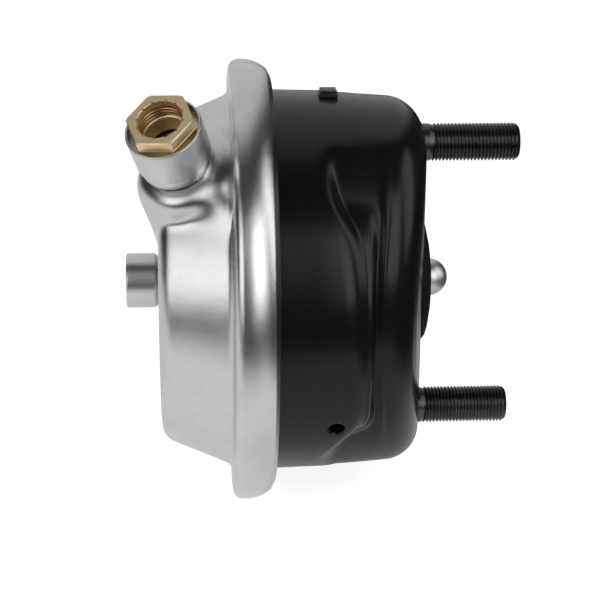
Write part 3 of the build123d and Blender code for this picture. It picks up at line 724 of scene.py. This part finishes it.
def outer_section(degrees):
    """Corners (x, r) of the outside, at an angle from +Z towards -Y."""
    turn = math.radians(degrees)
    fold = degrees % 360
    fold = fold if fold <= 180 else 360 - fold
    start, low, step = between(fold, FALL_STARTS), between(fold, FALL_FEET), between(fold, STEP_PLACES)
    deep = between(fold, FOOT_DEPTHS)
    foot_x = step + between(fold, FOOT_REACHES)
    foot = band_radius(foot_x, turn)
    valley = max(band_radius(low, turn) + 0.3, drum_radius(low) - deep)
    ledge = max(foot + 0.1, valley - 0.6)
    end_r = band_radius(CROWN_X, turn)
    for _ in range(6):
        end_x = crown_x(end_r, turn)
        end_r = band_radius(end_x, turn)
    inward = (crown_x(end_r - 23, turn), end_r - 23)
    return [(start, drum_radius(start)), (low, valley), (step, ledge), (foot_x, foot), (end_x, end_r), inward]


CORNER_ROUND = 15.5
FALL_BEND = 2.3  # how late the drum's fall begins
COUNTS = {"drum": 14, "fall": 14, "ledge": 7, "wall": 4, "flank": 15, "corner": 15, "crown": 9}


def spread(a, b, count):
    """Evenly spaced points from a up to, but not including, b."""
    return [(a[0] + (b[0] - a[0]) * i / count, a[1] + (b[1] - a[1]) * i / count) for i in range(count)]


def housing_outside(degrees):
    """All the net's points on the outside at one angle, from the flange to the boot's hole."""
    begin, low, ledge, foot, corner, inward = outer_section(degrees)
    turn = math.radians(degrees)
    points = [(MOUTH_X, FLANGE_R), (-68.9, FLANGE_R), (FLANGE_FOOT_X, 82.3), (-63.8, drum_radius(-63.8))]
    base = (-63.2, drum_radius(-63.2))
    for x, _ in spread(base, begin, COUNTS["drum"]):
        points.append((x, drum_radius(x)))
    for i in range(COUNTS["fall"]):
        share = i / COUNTS["fall"]
        drop = share ** FALL_BEND
        points.append((begin[0] + (low[0] - begin[0]) * share, begin[1] + (low[1] - begin[1]) * drop))
    points += spread(low, ledge, COUNTS["ledge"])
    points += spread(ledge, foot, COUNTS["wall"])
    arc = rounded([(*foot, 0), (*corner, CORNER_ROUND), (*inward, 0)], COUNTS["corner"])[1:-1]
    for x, _ in spread(foot, (arc[0].x, arc[0].y), COUNTS["flank"]):
        points.append((x, band_radius(x, turn)))
    points += [(p.x, p.y) for p in arc]
    for i in range(COUNTS["crown"] + 1):
        r = arc[-1].y + (SEAT_R + 1.2 - arc[-1].y) * (i + 1) / (COUNTS["crown"] + 1)
        points.append((crown_x(r, turn), r))
    points += [(points[-1][0] - 0.25, SEAT_R + 0.35), (min(points[-1][0] - 0.8, SEAT_X + 0.6), SEAT_R + 0.05),
               (SEAT_X, SEAT_R - 0.7), (SEAT_X, 32.0), (SEAT_X, BOOT_HOLE_R)]
    return points


def housing_inside(outside):
    """The inner wall, a sheet's thickness inside the outer points, back to the mouth."""
    kept = outside[3:-3:2]
    inner = []
    for before, here, after in zip(kept, kept[1:], kept[2:]):
        along = Vector((after[0] - before[0], after[1] - before[1])).normalized()
        inner.append((here[0] + along.y * SHEET, here[1] - along.x * SHEET))
    hole = [(SEAT_X - SHEET, BOOT_HOLE_R), (SEAT_X - SHEET, 32.0)]
    return hole + inner[::-1] + [(MOUTH_X, MOUTH_R - SHEET)]


sample = housing_outside(90)
print("net points along the section:", len(sample), "step foot", [round(v, 1) for v in outer_section(90)[3]])

# %% Spin the net and move it to the pressing
HOUSING_STEPS = 288


def housing_loop(degrees):
    outside = housing_outside(degrees)
    return outside + housing_inside(outside)


housing = draw_chain("pressed_housing", [(x * MM, 0.0, r * MM) for x, r in housing_loop(0)], closed=True)
number_points(housing)
spin_round(housing, HOUSING_STEPS)
sections = {}
for vertex, number in numbered(housing):
    turn = math.atan2(-vertex.co.y, vertex.co.z)
    degrees = round(math.degrees(turn) * HOUSING_STEPS / 360) * 360 / HOUSING_STEPS
    if degrees not in sections:
        sections[degrees] = housing_loop(degrees)
    x, r = sections[degrees][number]
    exact = math.radians(degrees)
    vertex.co = (x * MM, -r * math.sin(exact) * MM, r * math.cos(exact) * MM)
tidy_mesh(housing, angle=60.0)

# %% Let the pressed steel flow
# Smoothing the net rounds every bend that the section left sharp, as a drawing die would.
FLOW_FROM, FLOW_TO = 6, 4 + sum(COUNTS[part] for part in ("drum", "fall", "ledge", "wall", "flank"))
smooth_points(housing, lambda _, number: FLOW_FROM <= number <= FLOW_TO, repeat=6)
print("housing net:", len(housing.data.vertices), "points,", len(sections), "sections")
finish_piece(housing, "chamber", "housing", black_paint)
print("housing triangles:", sum(len(f.vertices) - 2 for f in housing.data.polygons))
# %% [markdown]
# Each stud has a thread of 1.5 mm pitch. A thread is one tooth carried round and along the axis,
# so a tooth's outline is drawn once and the Screw modifier carries it. The ends of that helix are
# cut square with bisect, and a cone at the tip takes the first turns down, so a nut starts easily.

# %% Stud threads
PITCH, STUD_R, ROOT_R = 1.5, 8.0, 7.1
THREAD_START, STUD_TIP = 4.6, 41.0
STUD_Z = 60.325


def cut_across(thing, x, keep_left):
    """Cuts an object square across X and closes the cut."""
    edit(thing)
    select_points("SELECT")
    bpy.ops.mesh.bisect(plane_co=(x * MM, 0, 0), plane_no=(1, 0, 0), use_fill=True,
                        clear_outer=keep_left, clear_inner=not keep_left)
    to_mode("OBJECT")


def apply_modifier(thing, kind, **values):
    """Adds a modifier, sets it and applies it."""
    select_only(thing)
    modifier = thing.modifiers.new("made", kind)
    for key, value in values.items():
        setattr(modifier, key, value)
    bpy.ops.object.modifier_apply(modifier=modifier.name)


tooth = [(0.0, ROOT_R), (0.19, ROOT_R), (0.66, STUD_R - 0.06), (0.75, STUD_R), (0.88, STUD_R),
         (0.97, STUD_R - 0.06), (1.44, ROOT_R), (PITCH, ROOT_R)]
stud = draw_chain("threaded_stud", [((THREAD_START - 3.0 + x) * MM, 0.0, r * MM) for x, r in tooth])
apply_modifier(stud, "SCREW", axis="X", angle=math.tau, screw_offset=PITCH * MM, iterations=28, steps=40,
               render_steps=40, use_merge_vertices=True, merge_threshold=0.00001)
cut_across(stud, THREAD_START, keep_left=False)
cut_across(stud, STUD_TIP, keep_left=True)
tidy_mesh(stud, angle=30.0)
print("thread:", len(stud.data.polygons), "faces over", STUD_TIP - THREAD_START, "mm")

# %% Stud tip, plain neck and head
def turned(name, corners, steps=64, rounding=5, centre=(0, 0, 0), axis=(1, 0, 0)):
    """A piece turned round an axis, from (distance along it, radius, rounding) corners in mm."""
    way = Vector(axis).normalized()
    side = way.orthogonal().normalized()
    points = [Vector(centre) + (way * p.x + side * max(p.y, 0.0)) * MM for p in rounded(corners, rounding)]
    thing = draw_chain(name, points)
    return spin_chain(thing, centre, way, steps)


def cut_with(thing, cutter, operation="DIFFERENCE"):
    """Boolean of one object with another, which is then removed."""
    apply_modifier(thing, "BOOLEAN", object=cutter, operation=operation, solver="EXACT")
    bpy.data.objects.remove(cutter, do_unlink=True)


sleeve = turned("tip_cone", [(THREAD_START - 2, 0, 0), (THREAD_START - 2, 9.0, 0), (38.2, 9.0, 0),
                             (39.4, 8.02, 0), (STUD_TIP, 6.4, 0.5), (STUD_TIP, 0, 0)])
cut_with(stud, sleeve, "INTERSECT")
neck = turned("stud_neck", [(-8.0, 0, 0), (-8.0, 7.9, 0), (2.6, 7.9, 0.3),
                            (THREAD_START + 0.6, ROOT_R - 0.05, 0), (THREAD_START + 0.6, 0, 0)])
head = turned("stud_head", [(-12.1, 0, 0), (-12.1, 10.9, 0.6), (-8.0, 10.9, 0.3), (-8.0, 8.4, 0),
                            (-0.3, 8.4, 0.2), (-0.3, 0, 0)])


def join_pieces(name, *pieces):
    """Joins objects into one."""
    select_only()
    for piece in pieces:
        piece.select_set(True)
    bpy.context.view_layer.objects.active = pieces[0]
    bpy.ops.object.join()
    pieces[0].name = name
    return pieces[0]


def shift_mesh(thing, move):
    """Moves an object's mesh, so the object itself stays at the origin."""
    edit(thing)
    select_points("SELECT")
    bpy.ops.transform.translate(value=move)
    to_mode("OBJECT")


def copy_of(thing, name):
    twin = thing.copy()
    twin.data = thing.data.copy()
    twin.name = name
    bpy.context.collection.objects.link(twin)
    return twin


stud = join_pieces("threaded_stud_top", stud, neck, head)
smooth_shading(stud, 30)
low_stud = copy_of(stud, "threaded_stud_low")
shift_mesh(stud, (0, 0, STUD_Z * MM))
shift_mesh(low_stud, (0, 0, -STUD_Z * MM))
for piece in (stud, low_stud):
    finish_piece(piece, "chamber", "mounting_studs", stud_steel)
print("studs:", [round(v, 4) for v in stud.bound_box[6]])
# %% [markdown]
# The housing's holes come now, because the tools that cut them are turned: three breather holes
# round the drum, of which one stays open as a drain, two holes for the studs, and a flat seat
# pressed round each stud.

# %% Holes in the housing
def drill(thing, base, way, radius, sink=0.0):
    """Drills a round hole inwards from a base point in mm, with a small countersink."""
    corners = [(3.0, 0, 0), (3.0, radius + sink + 1.0, 0), (0.0, radius + sink, 0), (-sink, radius, 0.0),
               (-7.0, radius, 0), (-7.0, 0, 0)]
    tool = turned("drill", corners, steps=48, centre=Vector(base) * MM, axis=way)
    cut_with(thing, tool)


def outward(degrees):
    """The direction away from the rod, at an angle from +Z towards -Y."""
    turn = math.radians(degrees)
    return Vector((0, -math.sin(turn), math.cos(turn)))


BREATHER_ROW = Vector((-40.0, 0, 0))
for degrees in (0, 120, 240):
    drill(housing, outward(degrees) * 80.35 + BREATHER_ROW, outward(degrees), 3.25, sink=0.5)
for z in (-STUD_Z, STUD_Z):
    seat_tool = turned("seat_tool", [(0.0, 0, 0), (0.0, 14.0, 0), (3.0, 14.6, 0), (3.0, 0, 0)], steps=72,
                       centre=(0, 0, z * MM))
    cut_with(housing, seat_tool)
    drill(housing, (0.0, 0.0, z), Vector((1, 0, 0)), 8.65, sink=0.3)
smooth_shading(housing, 50)
print("holes: 3 breathers, 2 studs")
# %% [markdown]
# The push-in fitting is brass: a hexagon that stands in the boss's recess and a stepped socket for
# the hose's tube. It is worked upright at the origin, with its mouth at height zero, and then set
# on the port's slanting axis. Punching the socket's mouth has left a ring of small nicks.

# %% The port's frame as a matrix
PORT_FRAME = Matrix((port_side, port_up, PORT_AXIS)).transposed().to_4x4()
PORT_FRAME.translation = PORT_MOUTH * MM
HEX_TURN = -20.9


def set_in_place(thing, place):
    """Puts an object's mesh in another frame and leaves the object at the origin."""
    thing.matrix_world = place
    select_only(thing)
    apply_place()


print("port leans", round(math.degrees(PORT_AXIS.angle(Vector((0, 0, 1)))), 1), "degrees from upright")

# %% Hexagon
# Six corners are carried down in steps; a waist halfway makes the line that the spanner ran along.
FLATS = 24.0
corner_r = FLATS / 2 / math.cos(math.radians(30))
top_r = corner_r - 0.42  # inside the chamfer
select_only()
bpy.ops.mesh.primitive_circle_add(vertices=6, radius=top_r * MM, fill_type="NGON", location=(0, 0, 0))
fitting = bpy.context.object
fitting.name = "brass_fitting"
fitting.rotation_euler.z = math.radians(HEX_TURN - 90)
apply_place()
levels = [(-0.34, corner_r), (-4.35, corner_r), (-4.46, corner_r - 0.16), (-4.62, corner_r - 0.16),
          (-4.74, corner_r - 0.03), (-9.4, corner_r - 0.03)]
edit(fitting)
bpy.ops.mesh.select_mode(type="FACE")
select_points("SELECT")
height, reach = 0.0, top_r
for level, size in levels:
    bpy.ops.mesh.extrude_region_move(TRANSFORM_OT_translate={"value": (0, 0, (level - height) * MM)})
    bpy.ops.transform.resize(value=(size / reach, size / reach, 1), center_override=(0, 0, 0))
    height, reach = level, size
to_mode("OBJECT")
tidy_mesh(fitting, angle=20.0)
UP = (0, 0, 1)
crown_cone = turned("crown_cone", [(0.5, 0, 0), (0.5, 12.35, 0), (0.0, 12.75, 0), (-0.85, 14.1, 0),
                                   (-9.9, 14.1, 0), (-9.9, 0, 0)], steps=96, axis=UP)
cut_with(fitting, crown_cone, "INTERSECT")
print("hexagon:", len(fitting.data.polygons), "faces")

# %% Threaded spigot and socket
# The socket steps in three times, and each step ends in a small round lip that catches the light.
spigot = turned("spigot", [(-9.0, 0, 0), (-9.0, 9.8, 0), (-11.0, 9.8, 0), (-11.0, 10.9, 0), (-23.2, 10.9, 0),
                           (-24.0, 10.1, 0), (-24.0, 0, 0)], steps=96, axis=UP)
cut_with(fitting, spigot, "UNION")
socket = turned("socket", [
    (1, 0, 0), (1, 9.15, 0), (0.0, 9.15, 0), (-0.25, 8.95, 0.1), (-1.5, 8.85, 0), (-2.1, 8.6, 0.3),
    (-2.6, 9.0, 0), (-3.2, 9.9, 0), (-8.4, 9.9, 0), (-8.7, 8.7, 0), (-9.0, 8.25, 0.2), (-9.6, 8.5, 0),
    (-15.9, 8.5, 0), (-16.3, 8.2, 0.2), (-16.7, 8.5, 0), (-16.7, 9.4, 0), (-18.5, 9.4, 0),
    (-18.5, 5.5, 0.4), (-25.0, 5.5, 0), (-25.0, 0, 0)], steps=96, axis=UP)
cut_with(fitting, socket)

# %% Nicks round the mouth
NICKS = [(6, 0.75), (37, 0.55), (66, 0.8), (98, 0.7), (127, 0.6), (160, 0.8), (188, 0.55), (217, 0.75),
         (246, 0.6), (277, 0.8), (306, 0.65), (338, 0.75)]  # place in degrees, radius
NICK_RING = 9.2
nicks = []
for turn, size in NICKS:
    around = math.radians(turn)
    select_only()
    bpy.ops.mesh.primitive_cone_add(vertices=6, radius1=size * 0.35 * MM, radius2=size * MM, depth=1.9 * MM,
                                    location=(NICK_RING * math.cos(around) * MM,
                                              NICK_RING * math.sin(around) * MM, -0.6 * MM),
                                    rotation=(0, 0, around))
    nicks.append(bpy.context.object)
nick_tool = join_pieces("nick_tool", *nicks)
apply_place()
cut_with(fitting, nick_tool)
apply_modifier(fitting, "BEVEL", width=0.09 * MM, segments=2, limit_method="ANGLE",
               angle_limit=math.radians(38))
tidy_mesh(fitting, gap=0.0000005, angle=28.0)
set_in_place(fitting, PORT_FRAME)
finish_piece(fitting, "chamber", "port_fitting", brass)
print("fitting:", len(fitting.data.polygons), "faces")

# %% Rubber rings under and in the fitting
def seal_ring(name, replaced, middle, radius, wide, high, corner):
    """A rubber ring of rounded square section round the port's axis."""
    low, top = middle - high / 2, middle + high / 2
    inner, outer = radius - wide / 2, radius + wide / 2
    corners = [(low, radius, 0), (low, outer, corner), (top, outer, corner), (top, inner, corner),
               (low, inner, corner), (low, radius, 0)]
    points = [Vector((p.y, 0, p.x)) * MM for p in rounded(corners, 4)][:-1]
    thing = draw_chain(name, points, closed=True)
    spin_chain(thing, (0, 0, 0), UP, 72)
    set_in_place(thing, PORT_FRAME)
    finish_piece(thing, "chamber", replaced, rubber)
    return thing


face_ring = seal_ring("face_seal_ring", "fitting_face_seal", -10.2, 10.15, 1.5, 1.55, 0.7)
tube_ring = seal_ring("tube_seal_ring", "fitting_tube_seal", -17.6, 9.0, 0.78, 1.7, 0.35)
print("seal rings:", face_ring.name, tube_ring.name)

# %% Weld ring under the boss
# The boss stands on a narrower ring, with a fine dark line above it and below it.
weld_ring = turned("boss_weld_ring", [(-21.75, 12.7, 0), (-21.75, 14.2, 0.35), (-25.6, 14.2, 0.7),
                                      (-26.9, 13.4, 0.4), (-26.9, 12.7, 0)], steps=96, axis=UP)
set_in_place(weld_ring, PORT_FRAME)
finish_piece(weld_ring, "chamber", None, turned_zinc)
print("weld ring:", len(weld_ring.data.polygons), "faces")
# %% The port's hole in the nose
port_drill = turned("port_drill", [(-20.0, 0, 0), (-20.0, 10.75, 0), (-36.0, 10.75, 0), (-36.0, 0, 0)],
                    steps=72, axis=UP)
set_in_place(port_drill, PORT_FRAME)
cut_with(cover, port_drill)
smooth_shading(cover, 50)
finish_piece(cover, "chamber", "pressure_cover", zinc_plate)
print("cover triangles:", sum(len(f.vertices) - 2 for f in cover.data.polygons))
# %% [markdown]
# The rubber and the spring work with the rod. On the real chamber the boot's dome is held by its flange and
# stretches as the rod goes out, its sleeve grips the rod, the diaphragm rolls over between its bead and the
# piston, and the conical spring opens and closes. Here each is built at rest; only the boot's sleeve is
# attached, to the rod, and the others are left unattached.

# %% Boot
def turned_wall(name, corners, steps=96, rounding=4):
    """A closed section of (x, r, rounding) corners, turned round the chamber's own axis."""
    points = [Vector((p.x, 0, p.y)) * MM for p in rounded(corners + [corners[0]], rounding)][:-1]
    return spin_chain(draw_chain(name, points, closed=True), (0, 0, 0), (1, 0, 0), steps)


boot_dome = turned_wall("boot_dome", [
    (-8.35, 29.0, 0), (-8.35, 32.8, 0.5), (-6.05, 32.8, 0.5), (-6.05, 27.5, 0), (-3.2, 27.5, 0.3),
    (-2.9, 27.9, 0.2), (-1.6, 27.9, 0.2), (-1.3, 27.5, 0.3), (1.2, 27.5, 3.0), (2.4, 24.2, 2.0),
    (2.1, 23.0, 0.8), (2.5, 21.6, 0.8), (3.5, 19.2, 1.5), (3.2, 17.8, 0.8), (3.9, 16.2, 1.2),
    (4.0, 12.4, 0.5), (4.35, 11.8, 0.3), (4.35, 10.6, 0.3), (2.0, 10.6, 0.4), (2.0, 14.5, 0.6),
    (1.3, 19.0, 1.5), (0.4, 23.0, 2.0), (-0.8, 25.5, 1.5), (-8.35, 25.5, 0)])
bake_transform(boot_dome)
finish_piece(boot_dome, None, "rod_boot", rubber)
boot_sleeve = turned_wall("boot_sleeve", [
    (4.2, 10.5, 0.3), (4.2, 8.35, 0.2), (-5.9, 8.35, 0.2), (-5.9, 10.0, 0.4), (-4.6, 10.3, 0.3),
    (-3.4, 9.7, 0.3), (-2.2, 10.3, 0.3), (-1.0, 9.7, 0.3), (0.2, 10.3, 0.3), (1.0, 10.5, 0)], steps=72)
finish_piece(boot_sleeve, "rod", "rod_boot", rubber)
print("boot:", len(boot_dome.data.polygons), "faces")

# %% Diaphragm
# Rubber on fabric, so it is thin and even; its bead is thick where the crimped rim squeezes it.
diaphragm = turned_wall("rolling_diaphragm", [
    (-107.55, 0.6, 0), (-107.55, 60.8, 3.2), (-81.6, 75.9, 2.0), (-78.2, 77.1, 0.6), (-78.0, 90.2, 1.4),
    (-71.5, 90.2, 1.4), (-71.4, 74.6, 1.2), (-78.6, 72.8, 2.0), (-98.3, 61.4, 2.2), (-100.6, 58.6, 1.2),
    (-104.3, 56.6, 1.6), (-104.3, 0.6, 0)],
    steps=144)
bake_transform(diaphragm)
finish_piece(diaphragm, None, "diaphragm", rubber)
print("diaphragm:", len(diaphragm.data.polygons), "faces")

# %% Return spring
# The wire's centre line is drawn point by point: the end turns lie flat, and the turns between
# share the rise. Then the line is given its thickness.
SPRING_TURNS, FRONT_X, BACK_X = 5.0, -13.55, -98.35
FRONT_R, BACK_R, WIRE_R = 31.5, 47.0, 2.45
LINE_PARTS = 300
line = []
for i in range(LINE_PARTS + 1):
    share = i / LINE_PARTS
    turn = share * SPRING_TURNS
    rise = max(0.0, min(1.0, (turn - 0.55) / (SPRING_TURNS - 1.1)))
    rise = rise + 0.012 * math.sin(rise * math.tau)
    radius = FRONT_R + (BACK_R - FRONT_R) * share
    angle = turn * math.tau
    x = FRONT_X + (BACK_X - FRONT_X) * rise
    line.append(Vector((x, radius * math.cos(angle), radius * math.sin(angle))) * MM)
spring = draw_chain("conical_spring", line)
select_only(spring)
bpy.ops.object.convert(target="CURVE")
spring = bpy.context.object
spring.data.bevel_depth = WIRE_R * MM
spring.data.bevel_resolution = 4
spring.data.use_fill_caps = True
bpy.ops.object.convert(target="MESH")
spring = bpy.context.object
tidy_mesh(spring, angle=50.0)
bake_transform(spring)
finish_piece(spring, None, "return_spring", spring_steel)
print("spring:", len(spring.data.polygons), "faces")

# %% Breather plugs
# A square cap with a smaller step on top, and a barbed stem below.
PLUG_GAP = 0.3  # between the cap and the drum


def breather_plug(name, degrees, radius):
    parts = []
    for wide, deep, low, high in ((7.8, 8.6, 0.0, 1.75), (6.8, 7.6, 1.7, 2.88)):
        select_only()
        bpy.ops.mesh.primitive_cube_add(size=1, location=(0, 0, (low + high) / 2 * MM))
        block = bpy.context.object
        block.scale = (wide * MM, deep * MM, (high - low) * MM)
        apply_place()
        apply_modifier(block, "BEVEL", width=0.28 * MM, segments=3)
        parts.append(block)
    cap, step = parts
    cut_with(cap, step, "UNION")
    stem = turned("plug_stem", [(0.3, 0, 0), (0.3, 3.1, 0), (-4.3, 3.1, 0.2), (-4.4, 3.7, 0.2),
                                (-5.5, 2.9, 0.2), (-5.5, 0, 0)], steps=40, axis=UP)
    cut_with(cap, stem, "UNION")
    cap.name = name
    tidy_mesh(cap, angle=35.0)
    out, across = outward(degrees), Vector((1, 0, 0))
    place = Matrix((across, out.cross(across), out)).transposed().to_4x4()
    place.translation = (out * (radius + PLUG_GAP) + BREATHER_ROW) * MM
    set_in_place(cap, place)
    finish_piece(cap, "chamber", "vent_plugs", plastic)
    return cap


top_plug = breather_plug("breather_plug_top", 0, 80.2866)
far_plug = breather_plug("breather_plug_far", 240, 80.5073)
print("plugs:", top_plug.name, far_plug.name)

# %% Washer under the bush's plug
washer = turned_wall("plug_washer", [(-112.35, 4.2, 0.2), (-112.35, 7.9, 0.4), (-113.85, 7.9, 0.4),
                                     (-113.85, 4.2, 0.2)], steps=48)
finish_piece(washer, "chamber", "blanking_plug_seal", rubber)
